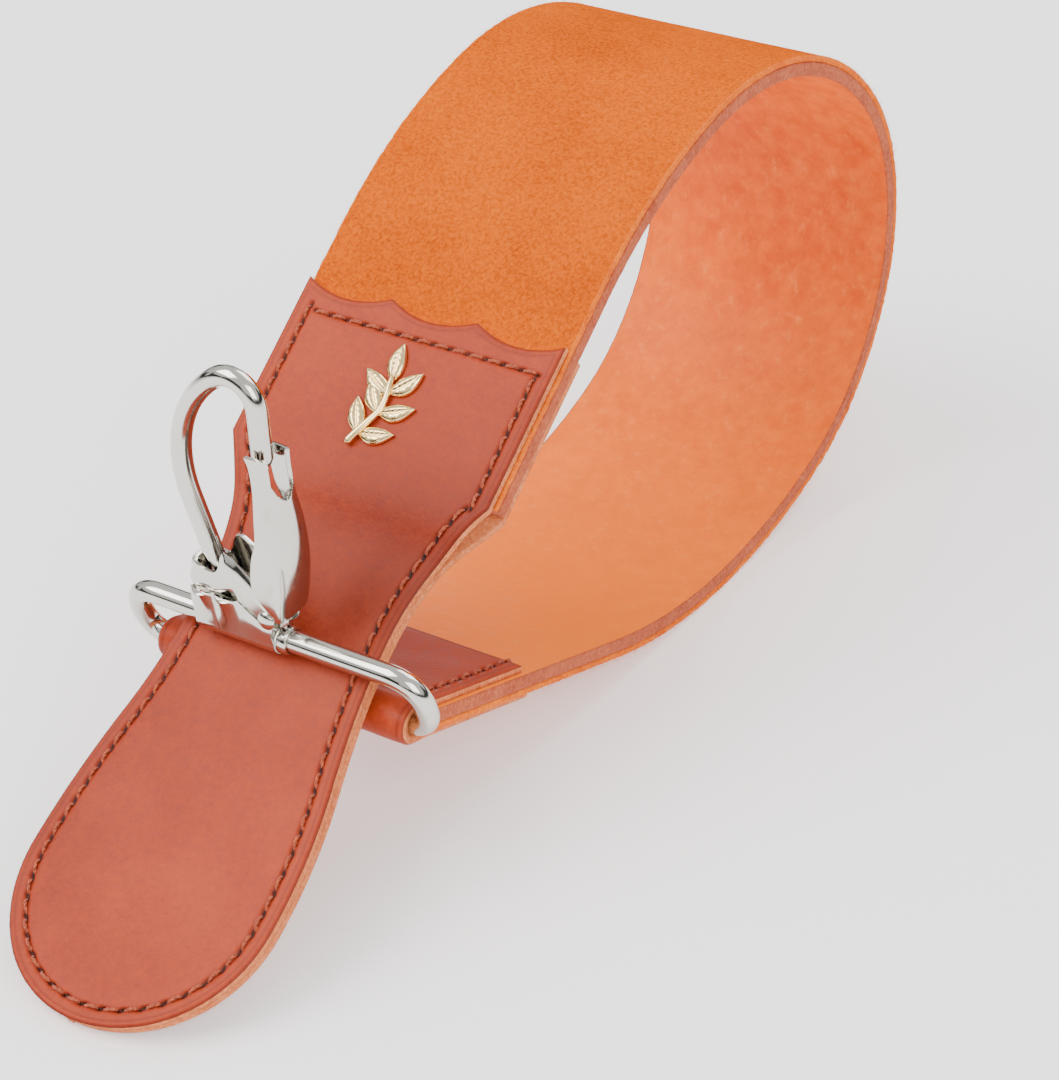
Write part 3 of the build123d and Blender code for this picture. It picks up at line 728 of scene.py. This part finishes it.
def end_cap():
    """Inner leaf, fold round the ring's lower bar, and outer leaf, as rows of (place, which of them)."""
    inner_r, outer_r = STRAP / 2 + GLUE, STRAP / 2 + GLUE + CAP_LEATHER
    leaf_in, leaf_out = CAP_LEAVES
    lip = np.array((0, 0.08, 0.2, 0.4, 0.7))
    steps = [(a, 1) for a in (*(leaf_in - lip), *np.arange(leaf_in - 1.1, 0.3, -0.4))]
    steps += [(t, 0) for t in np.linspace(math.pi / 2, 3 * math.pi / 2, 36)]
    steps += [(a, -1) for a in (*np.arange(0.4, leaf_out - 1.0, 0.4), *(leaf_out - lip[::-1]))]
    edge = np.concatenate((np.array((0, 0.06, 0.15, 0.3, 0.5, 0.8)), np.arange(1.15, 5.2, 0.35)))
    right = np.concatenate((CAP_HALF - edge, np.linspace(CAP_HALF - edge[-1], 0, 44)[1:]))
    x = np.concatenate((-right, right[-2::-1]))
    marks = {1: spots("cap_needle_thread", RING_LOW, BACK),
             -1: spots("cap_bobbin_thread", RING_LOW, BACK)}
    outer, inner, pits, burns = [], [], [], []
    for value, kind in steps:
        end_gap = (leaf_in if kind > 0 else leaf_out) - value if kind else 9.0
        gap = np.minimum(CAP_HALF - np.abs(x), end_gap)
        sink = 0.38 * np.clip(1 - gap / 0.7, 0, 1) ** 2 + 0.05 * np.exp(-((gap - 1.2) / 0.25) ** 2)
        if kind:
            groove, pit = stitch_marks(x, np.full_like(x, value), marks[kind])
            bulge = 0.25 * np.exp(-(value / 3.0) ** 2)
            noise_at = np.stack((x, np.full_like(x, value), np.full_like(x, kind * 3.0)), 1)
            swell = bumpy(noise_at, 0.12, 0.14, 6) * np.clip(gap / 3, 0, 1)
            h = outer_r - sink - 0.16 * groove - 0.36 * pit + bulge + swell - 0.04
            outer.append(cap_at(x, value, h * kind))
            inner.append(cap_at(x, value, np.full_like(x, inner_r) * kind))
        else:
            groove = pit = np.zeros_like(x)
            wrinkle = bumpy(np.stack((x, np.full_like(x, value * 2), np.zeros_like(x)), 1), 0.3, 0.12, 8)
            h = outer_r - sink + 0.25 + wrinkle
            outer.append(cap_at(x, h * math.cos(value), h * math.sin(value)))
            inner.append(cap_at(x, inner_r * math.cos(value), inner_r * math.sin(value)))
        # pits paint shade into the needle holes
        pits.append(np.clip(pit * 1.25, 0, 1))
        burn = np.exp(-((gap - 1.1) / 0.3) ** 2) * 0.45 + np.clip(1 - gap / 0.5, 0, 1) * 0.4
        burns.append(np.clip(burn + groove * 0.15, 0, 1))
    rows, columns = len(steps), len(x)
    points = np.vstack(outer + inner)
    faces = lattice(rows, columns)
    paint = [0] * len(faces)
    shift = rows * columns
    for r in range(rows - 1):
        a, b = shift + r * columns, shift + (r + 1) * columns
        faces.append((a, b, b + columns - 1, a + columns - 1))
        paint.append(1)
        for c in (0, columns - 1):
            a, b = r * columns + c, (r + 1) * columns + c
            faces.append((a, b, b + shift, a + shift))
            paint.append(1)
    for r in (0, rows - 1):
        for c in range(columns - 1):
            a = r * columns + c
            faces.append((a, a + 1, a + 1 + shift, a + shift))
            paint.append(1)
    blank = np.zeros(shift)
    values = {"pit": np.concatenate((*pits, blank)),
              "edge": np.concatenate((*burns, blank)),
              "painted_shade": np.zeros(2 * shift)}
    make("cap_skin", points, faces, [HIDE, HIDE_CUT], "strop", ["end_cap"],
         paint, values)


end_cap()
stitches("cap_inner_stitches", "cap_needle_thread", CAP_UP)
stitches("cap_outer_stitches", "cap_bobbin_thread", -CAP_UP)

# the side rows' last stitches, over the ends of the leaves
shapes = []
for side in (1, -1):
    for way, leaf in zip((1, -1), CAP_LEAVES):
        spin = np.linspace(-1, 1, 12)
        a = leaf + 0.9 + spin * 1.1
        h = (STRAP / 2 + 1.25 * np.clip(0.5 - spin, 0, 1) - 0.35 * np.clip(spin, 0, 1)) * way
        path = cap_at(np.full(12, side * 23.0) + 0.12 * np.cos(spin * 4), a, h + 0.12 * way) / MM
        p, f = tube(path, 0.33, 8, ends="round")
        shapes.append((p * MM, f))
points, faces = join(shapes)
make("cap_end_stitches", points, faces, [THREAD], "strop")


# ---------------------------------------------------------------- badge
def sprig():
    """A stem with paired leaves, each crowned and veined."""
    stem = spline(((-3.5, -27.0), (-0.5, -20.0), (-1.0, -14.0)), 40)
    tangent = np.gradient(stem, axis=0)
    shapes = []
    path = np.stack((stem[:, 0], stem[:, 1], 0.75 + 0.15 * np.sin(np.linspace(0, 9, 40))), 1)
    p, f = tube(path, np.linspace(0.72, 0.5, 40), 14, ends="round")
    shapes.append((place(p[:, 0], p[:, 1], p[:, 2]), f))
    leaves = [(0.97, 0.0)]
    for where in (0.15, 0.45, 0.75):
        leaves += [(where, 52.0), (where, -52.0)]
    for where, spread in leaves:
        i = int(where * 39)
        angle = math.atan2(tangent[i, 1], tangent[i, 0]) + math.radians(spread)
        t = np.linspace(0.0, 1, 30)[:, None]
        s = np.linspace(-1, 1, 21)[None, :]
        width = 1.72 * np.sin(math.pi * np.clip(t, 0.015, 0.985) ** 0.86) ** 0.8
        curl = 0.35 * np.sin(t * math.pi) * math.copysign(1, spread if spread else 1)
        lx = t * 7.0 + 0 * s
        ly = s * width + curl
        ribs = np.abs(np.sin((t * 7 + np.abs(s) * 1.3) * math.pi))
        veins = 0.13 * ribs * (1 - np.abs(s)) * np.sin(t * math.pi)
        domed = np.sqrt(np.clip(1 - s ** 2, 0, 1))
        crown = 0.25 + domed * np.sin(math.pi * np.clip(t, 0.02, 0.98)) ** 0.5
        lz = crown - 0.42 * np.exp(-(s / 0.16) ** 2) * np.sin(t * math.pi) - veins + 0.25 * t
        px = stem[i, 0] + lx * math.cos(angle) - ly * math.sin(angle)
        py = stem[i, 1] + lx * math.sin(angle) + ly * math.cos(angle)
        upper = place(px, py, lz)
        lower = place(px, py, np.full_like(lz, 0.03))
        rows, columns = lz.shape
        count = rows * columns
        f = lattice(rows, columns) + [q[::-1] for q in lattice(rows, columns, count)]
        rim = list(range(columns)) + [r * columns + columns - 1 for r in range(1, rows)]
        rim += [(rows - 1) * columns + c for c in range(columns - 2, -1, -1)]
        rim += [r * columns for r in range(rows - 2, 0, -1)]
        f += [(a, b, b + count, a + count) for a, b in zip(rim, rim[1:] + rim[:1])]
        shapes.append((np.vstack((upper, lower)), f))
    points, faces = join(shapes)
    make("sprig", points, faces, [GILT], "strop", ["sprig_badge"])


sprig()


# ---------------------------------------------------------------- ring
def ring():
    half, rise, r = 30.0, 6.0, 5.2
    top = (BAR - RING_LOW) * np.array((0, 1, 1))
    up = top / np.linalg.norm(top)
    middle = (RING_LOW + top / 2) * np.array((0, 1, 1))
    path = []
    for sx, sy, start in ((1, -1, -90), (1, 1, 0), (-1, 1, 90), (-1, -1, 180)):
        for a in np.radians(np.linspace(start, start + 90, 14)):
            path.append((sx * (half - r) + r * math.cos(a), sy * (rise - r) + r * math.sin(a)))
    dense = []
    for i, p in enumerate(path):
        q = path[(i + 1) % len(path)]
        steps = max(1, int(math.dist(p, q) / 0.6))
        for k in range(steps):
            dense.append((p[0] + (q[0] - p[0]) * k / steps, p[1] + (q[1] - p[1]) * k / steps))
    dense = np.array(dense)
    for _ in range(3):
        dense = (np.roll(dense, 1, 0) + 2 * dense + np.roll(dense, -1, 0)) / 4
    line = middle + dense[:, :1] * ACROSS + dense[:, 1:] * up
    seam = np.exp(-((dense[:, 0] + 16.0) / 0.35) ** 2) * (dense[:, 1] < 0)
    p, f = tube(line, RING_WIRE_R - 0.14 * seam, 40, closed=True)
    make("ring_wire", p * MM, f, [NICKEL], "ring", ["ring"])


ring()


# ---------------------------------------------------------------- snap clip
def hook():
    run = ((0, 18.5), (22.2, -68.0), (0, 1.5), (5.0, -130.0), (0, 8.6))
    pts = trail((-3.3, 5.2), 108, run, 0.4)[0]
    for _ in range(14):
        inner = (pts[:-2] + 2 * pts[1:-1] + pts[2:]) / 4
        pts = np.vstack((pts[:1], inner, pts[-1:]))
    line = clip_at(pts[:, 0], 0.0, pts[:, 1]) / MM
    p, f = tube(line, HOOK_WIRE_R, 40, ends="round")
    make("hook", p * MM, f, [NICKEL], "clip", ["hook_wire"])


hook()


def patch(bottom, top, left, right):
    """A surface between four edges, given as same-length runs of points."""
    bottom, top, left, right = (np.array(e, float) for e in (bottom, top, left, right))
    rows, columns = len(left), len(bottom)
    s = np.linspace(0, 1, columns)[None, :, None]
    t = np.linspace(0, 1, rows)[:, None, None]
    ruled = (1 - t) * bottom[None] + t * top[None] + (1 - s) * left[:, None] + s * right[:, None]
    foot = (1 - s) * bottom[0] + s * bottom[-1]
    head = (1 - s) * top[0] + s * top[-1]
    return ruled - (1 - t) * foot - t * head


def sheet_metal(name, grids, thickness, body, nodes=(), bevel=0.14, keep=None):
    """Bent sheet of a real thickness, from one or more surface grids in the clip's frame."""
    shapes = []
    for g in grids:
        rows, columns = g.shape[:2]
        faces = lattice(rows, columns)
        if keep is not None:
            faces = [q for q in faces if all(keep.ravel()[i] for i in q)]
        points = clip_at(g[..., 0], g[..., 1], g[..., 2])
        used = sorted({i for q in faces for i in q})
        number = {old: new for new, old in enumerate(used)}
        shapes.append((points[used], [tuple(number[i] for i in q) for q in faces]))
    points, faces = join(shapes)
    obj = make(name, points, faces, [NICKEL], body, nodes)
    solid = obj.modifiers.new("sheet", "SOLIDIFY")
    solid.thickness = thickness * MM
    round_off = obj.modifiers.new("round", "BEVEL")
    round_off.width = bevel * MM
    round_off.segments = 3
    round_off.angle_limit = math.radians(50)


def edge(points, count, v):
    """A curved edge of a sheet, through points given as (u, c)."""
    e = spline(points, count)
    return np.stack((e[:, 0], np.broadcast_to(v, (count,)), e[:, 1]), 1)


def clip_body():
    count = 30
    # near left flap, lifted where it clasps the wire
    bottom = edge(((-9.3, 6.0), (-5.7, 6.0), (0.6, 6.4)), count, -2.75)
    top = edge(((-8.6, 12.3), (-6.2, 11.6), (-3.4, 11.2), (-1.9, 14.9)), count, -2.75)
    left = edge(((-9.3, 6.0), (-9.9, 9.2), (-8.6, 12.3)), count, -2.75)
    right = edge(((0.6, 6.4), (-0.7, 11.0), (-1.9, 15.2)), count, -2.75)
    g = patch(bottom, top, left, right)
    t = np.linspace(0, 1, count)[:, None]
    s = np.linspace(0, 1, count)[None, :]
    g[..., 1] += 0.5 * np.clip(1 - t / 0.3, 0, 1)
    g[..., 1] -= 0.45 * np.sin(np.clip(t, 0, 1) * math.pi) * np.sin(s * math.pi)
    g[..., 1] -= 0.55 * np.exp(-((g[..., 0] + 6.0) / 2.6) ** 2) * np.clip((t - 0.35) / 0.65, 0, 1)
    g[..., 1] += 1.1 * np.clip(1 - s / 0.16, 0, 1) ** 2
    g[..., 1] += 0.35 * np.clip((s - 0.93) / 0.07, 0, 1)
    flap_left = g
    # near right flap, with a fold line along it, over the edge of the left one
    bottom = edge(((1.0, 7.3), (2.6, 5.2), (4.6, 3.9), (7.2, 3.4)), count, -2.75)
    top = edge(((-1.5, 15.7), (2.2, 13.2), (5.6, 10.4), (8.2, 7.3)), count, -2.75)
    left = edge(((1.0, 7.3), (-0.2, 11.2), (-1.5, 15.7)), count, -2.75)
    right = edge(((7.2, 3.4), (8.1, 5.2), (8.2, 7.3)), count, -2.75)
    g = patch(bottom, top, left, right)
    g[..., 1] -= 0.42 * (1 - np.abs(t - 0.62) / 0.62)
    g[..., 1] += 0.5 * np.clip((t - 0.78) / 0.22, 0, 1) ** 1.5
    g[..., 1] -= 0.35 * np.clip(1 - s / 0.2, 0, 1) * (1 - t * 0.6)
    flap_right = g
    # barrel round the bar, its near edge sprung out in two lips, and the far plate
    u = np.linspace(-9.2, 7.2, 84)
    # as rows: heights up the near wall, degrees round the bar, and heights up the far wall
    turn = np.concatenate((
        np.linspace(1.0, 0.04, 12), np.linspace(0, -180, 34), np.linspace(0.3, 8.0, 12)))
    bulge = np.abs(np.sin(np.clip((u + 9.2) / 9.9, 0, 1) * 2 * math.pi)) ** 1.2
    height = np.where(u < 0.7, 7.0 - 0.45 * bulge, 7.2 - 3.4 * np.clip((u - 0.7) / 5.0, 0, 1) ** 0.8)
    mid = CLIP_OUTER - 0.02
    rows = []
    for k, value in enumerate(turn):
        if k < 12:
            c = height * value
            v = -mid - 0.75 * value - 0.8 * bulge * value ** 3 + 0.45 * (1 - bulge) * value ** 4
        elif k < 46:
            v = -mid * math.cos(math.radians(-value)) + 0 * u
            c = -mid * math.sin(math.radians(-value)) + 0 * u
        else:
            v = mid + 0 * u
            c = value + 0 * u
        dent = 0.22 * np.exp(-((u + 4.6) / 0.22) ** 2) * (k < 20)
        rows.append(np.stack((u, v + dent, c), 1))
    barrel = np.array(rows)
    far_bottom = edge(((-9.3, 7.6), (-6.0, 7.6), (-1.0, 7.6), (7.2, 5.0)), count, mid)
    far_top = edge(((-8.6, 12.2), (-5.0, 11.4), (-1.8, 15.6), (8.2, 7.3)), count, mid)
    far_left = edge(((-9.3, 7.6), (-9.8, 9.5), (-8.6, 12.2)), count, mid)
    far_right = edge(((7.2, 5.0), (8.0, 6.0), (8.2, 7.3)), count, mid)
    far = patch(far_bottom, far_top, far_left, far_right)
    # the fold that joins near and far sheet at the left end
    a = np.linspace(-math.pi / 2, math.pi / 2, 18)[None, :]
    c = np.linspace(6.9, 11.9, 14)[:, None]
    swell = 0.55 * np.sin((c - 6.9) / 5.0 * math.pi)
    wall = np.stack((-8.5 - swell - 0.85 * np.cos(a) + 0 * c, 2.4 * np.sin(a) + 0 * c, c + 0 * a), 2)
    sheet_metal("clip_flaps", [flap_left, flap_right], 0.7, "clip", bevel=0.18)
    sheet_metal("clip_barrel", [barrel], 0.75, "clip", ["clip_body"])
    sheet_metal("clip_far", [far, wall], 0.7, "clip")
    # collar where the barrel ends
    shapes = []
    for first, last, r in ((7.35, 9.3, 2.5), (7.0, 7.5, 2.72)):
        u = np.array((first, first + 0.05, first + 0.25, last - 0.25, last - 0.05, last, last, first))
        size = np.array((r - 0.25, r - 0.1, r, r, r - 0.1, r - 0.25, 2.02, 2.02))
        spin = np.linspace(0, 2 * math.pi, 40, endpoint=False)
        p = clip_at(u[:, None] + 0 * spin, size[:, None] * np.cos(spin), size[:, None] * np.sin(spin))
        f = lattice(len(u), 40, wrap=True)
        row = (len(u) - 1) * 40
        f += [(row + k, row + (k + 1) % 40, (k + 1) % 40, k) for k in range(40)]
        shapes.append((p, f))
    p, f = join(shapes)
    make("clip_collar", p, f, [NICKEL], "clip")


clip_body()


def gate():
    """A spoon-shaped channel, open on its inner side, with a window near its top for the hook's tip."""
    rows, columns = 96, 61
    web = spline(((10.2, 5.6), (10.6, 7.0), (11.5, 12.0), (11.9, 18.0), (11.5, 27.0), (11.1, 36.6)), 300)
    lip = spline(((9.3, 5.6), (9.2, 7.0), (7.2, 10.2), (6.1, 12.8),
                  (6.6, 18.0), (7.5, 22.0), (7.0, 29.0), (6.3, 36.6)), 300)
    size = spline(((3.6, 5.6), (4.2, 7.0), (4.9, 10.0), (5.2, 16.0),
                   (4.4, 24.0), (3.2, 30.0), (2.95, 36.6)), 300)
    # across the gate, as shares of the way from lip to web and of the half-width
    section = spline(((0, -1), (0.3, -0.99), (0.58, -0.95), (0.76, -0.84), (0.88, -0.6), (0.96, -0.28),
                      (1.0, 0.1), (0.98, 0.5), (0.9, 0.82), (0.6, 0.96), (0, 1)), columns)
    c = np.linspace(5.8, 36.4, rows)
    w_u = np.interp(c, web[:, 1], web[:, 0])[:, None]
    l_u = np.interp(c, lip[:, 1], lip[:, 0])[:, None]
    half = np.interp(c, size[:, 1], size[:, 0])[:, None]
    u = l_u + (w_u - l_u) * section[:, 0]
    v = half * section[:, 1]
    rise = c[:, None] + 0 * v
    flare = np.clip((rise - 33.4) / 3.0, 0, 1) ** 2
    v *= 1 + 0.10 * flare
    u -= 0.35 * flare * np.clip(-section[:, 1], 0, 1) ** 4
    keep = (rise < 28.6 + np.abs(v / 2.2) ** 2.2 * 2.6) | (np.abs(v) > half - 0.62)
    g = np.stack((u, v, rise), 2)
    a = np.linspace(0, 2 * math.pi, 33)[None, :]
    r = np.linspace(0.95, 2.5, 5)[:, None]
    reach = 1 + 0.32 * np.clip(np.cos(a), 0, 1) ** 3
    ear_u, ear_c = PIN_AT[0] + r * reach * np.cos(a), PIN_AT[1] + r * np.sin(a)
    ears = [np.stack((ear_u, np.full((5, 33), side * 1.45), ear_c), 2) for side in (-1, 1)]
    sheet_metal("gate_leaf", [g], 0.62, "gate", ["gate"], bevel=0.15, keep=keep)
    sheet_metal("gate_ears", ears, 0.45, "gate", bevel=0.1)


gate()


def rivet():
    """The gate's pin with a head at each end, and the coil spring round it."""
    u0, c0 = PIN_AT
    half = [(3.9, 0.0), (3.86, 0.6), (3.72, 1.1), (3.5, 1.5),
            (3.3, 1.68), (3.1, 1.7), (3.02, 1.6), (2.98, 0.9)]
    profile = [(-v, r) for v, r in half] + half[::-1]
    spin = np.linspace(0, 2 * math.pi, 28, endpoint=False)
    v = np.array([q[0] for q in profile])[:, None]
    r = np.array([max(q[1], 0.02) for q in profile])[:, None]
    p = clip_at(u0 + r * np.cos(spin), v + 0 * spin, c0 + r * np.sin(spin))
    f = lattice(len(profile), 28, wrap=True)
    f += [tuple(range(27, -1, -1)), tuple((len(profile) - 1) * 28 + k for k in range(28))]
    make("rivet", p, f, [NICKEL], "clip", ["gate_pin"])
    turn = np.linspace(0, 4 * math.pi, 90)
    coil = np.stack((u0 + 1.5 * np.cos(turn), np.linspace(-0.65, 0.65, 90), c0 + 1.5 * np.sin(turn)), 1)
    lead = np.array(((u0 + 1.9, -0.65, c0 - 2.2), (u0 + 1.6, -0.65, c0 - 0.8)))
    tail = np.array(((u0 + 1.5, 0.65, c0 + 0.8), (u0 + 1.4, 0.65, c0 + 2.2)))
    path = np.vstack((lead, coil, tail))
    line = clip_at(path[:, 0], path[:, 1], path[:, 2]) / MM
    p, f = tube(line, 0.3, 10, ends="round")
    make("spring", p * MM, f, [STEEL], "clip", ["gate_spring"])


rivet()


# ---------------------------------------------------------------- CAD nodes that stay
for name, mat, slot_name in (("badge_posts", GILT, "gilt"), ("badge_push_nuts", STEEL, "spring_steel")):
    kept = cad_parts[name]
    kept.data.materials.clear()
    kept.data.materials.append(mat)


# ---------------------------------------------------------------- stage, light and camera
def studio():
    m, t, s = material("floor")
    pale = ramp(t, grain(t, 3, 2), [(0.3, (0.90,) * 3), (0.7, (0.92,) * 3)])
    t.links.new(pale, s.inputs["Base Color"])
    s.inputs["Roughness"].default_value = 0.9
    # painted light: the floor glows, from 0.5 near the middle down to none 0.8 m out
    s.inputs["Emission Color"].default_value = (1, 1, 1, 1)
    away = node(t, "ShaderNodeVectorMath", {0: place_of(t)}, operation="LENGTH").outputs["Value"]
    t.links.new(ramp(t, away, [(0.42, (0.5,) * 3), (0.8, (0.0,) * 3)]), s.inputs["Emission Strength"])
    size = 6.0
    mesh = bpy.data.meshes.new("floor")
    corners = [(-size, -size, 0), (size, -size, 0), (size, size, 0), (-size, size, 0)]
    mesh.from_pydata(corners, [], [(0, 1, 2, 3)])
    mesh.materials.append(m)
    floor = bpy.data.objects.new("floor", mesh)
    bpy.context.scene.collection.objects.link(floor)
    for name, at, aim, size, power, colour in (
        ("key", (-0.55, -0.55, 1.05), (0, 0, 0.04), 0.9, 17.0, (1.0, 0.985, 0.96)),
        ("fill", (0.95, -0.5, 0.75), (0, 0, 0.04), 0.8, 10.0, (1.0, 0.99, 0.98)),
        ("back", (0.1, 0.9, 0.9), (0, 0, 0.04), 0.8, 8.0, (1, 1, 1)),
    ):
        lamp = bpy.data.lights.new(name, "AREA")
        lamp.shape = "SQUARE"
        lamp.size = size
        lamp.energy = power
        lamp.color = colour
        obj = bpy.data.objects.new(name, lamp)
        obj.location = at
        obj.rotation_mode = "QUATERNION"
        obj.rotation_quaternion = (Vector(aim) - Vector(at)).to_track_quat("-Z", "Y")
        bpy.context.scene.collection.objects.link(obj)
    world = bpy.data.worlds.new("studio")
    world.use_nodes = True
    bpy.context.scene.world = world
    tree = world.node_tree
    back = tree.nodes["Background"]
    sky = node(tree, "ShaderNodeTexCoord").outputs["Generated"]
    height = node(tree, "ShaderNodeSeparateXYZ", {"Vector": sky}).outputs["Z"]
    cloud = node(tree, "ShaderNodeTexNoise", {"Vector": sky, "Scale": 2.2, "Detail": 1.0}).outputs["Fac"]
    parts = {0: cloud, 1: 1.3, 2: height}
    level = node(tree, "ShaderNodeMath", parts, operation="MULTIPLY_ADD").outputs[0]
    shade = ramp(tree, level, [(0.86, (0.035, 0.034, 0.03)), (0.93, (0.8,) * 3), (1.0, (1.0,) * 3)])
    tree.links.new(shade, back.inputs["Color"])
    back.inputs["Strength"].default_value = 1.0


studio()
camera = bpy.data.cameras.new("camera")
camera.lens = 101.0
camera.shift_x = 0.003
camera.sensor_width = 36.0
camera.clip_start = 0.01
view = bpy.data.objects.new("camera", camera)
right = Vector((0.8318, 0.5526, -0.0515)).normalized()
down = Vector((0.2671, -0.4799, -0.8357)).normalized()
ahead = right.cross(down).normalized()
down = ahead.cross(right).normalized()
view.matrix_world = Matrix((
    (right.x, -down.x, -ahead.x, 0.2761),
    (right.y, -down.y, -ahead.y, -0.3674),
    (right.z, -down.z, -ahead.z, 0.3274),
    (0, 0, 0, 1),
))
bpy.context.scene.collection.objects.link(view)
bpy.context.scene.camera = view
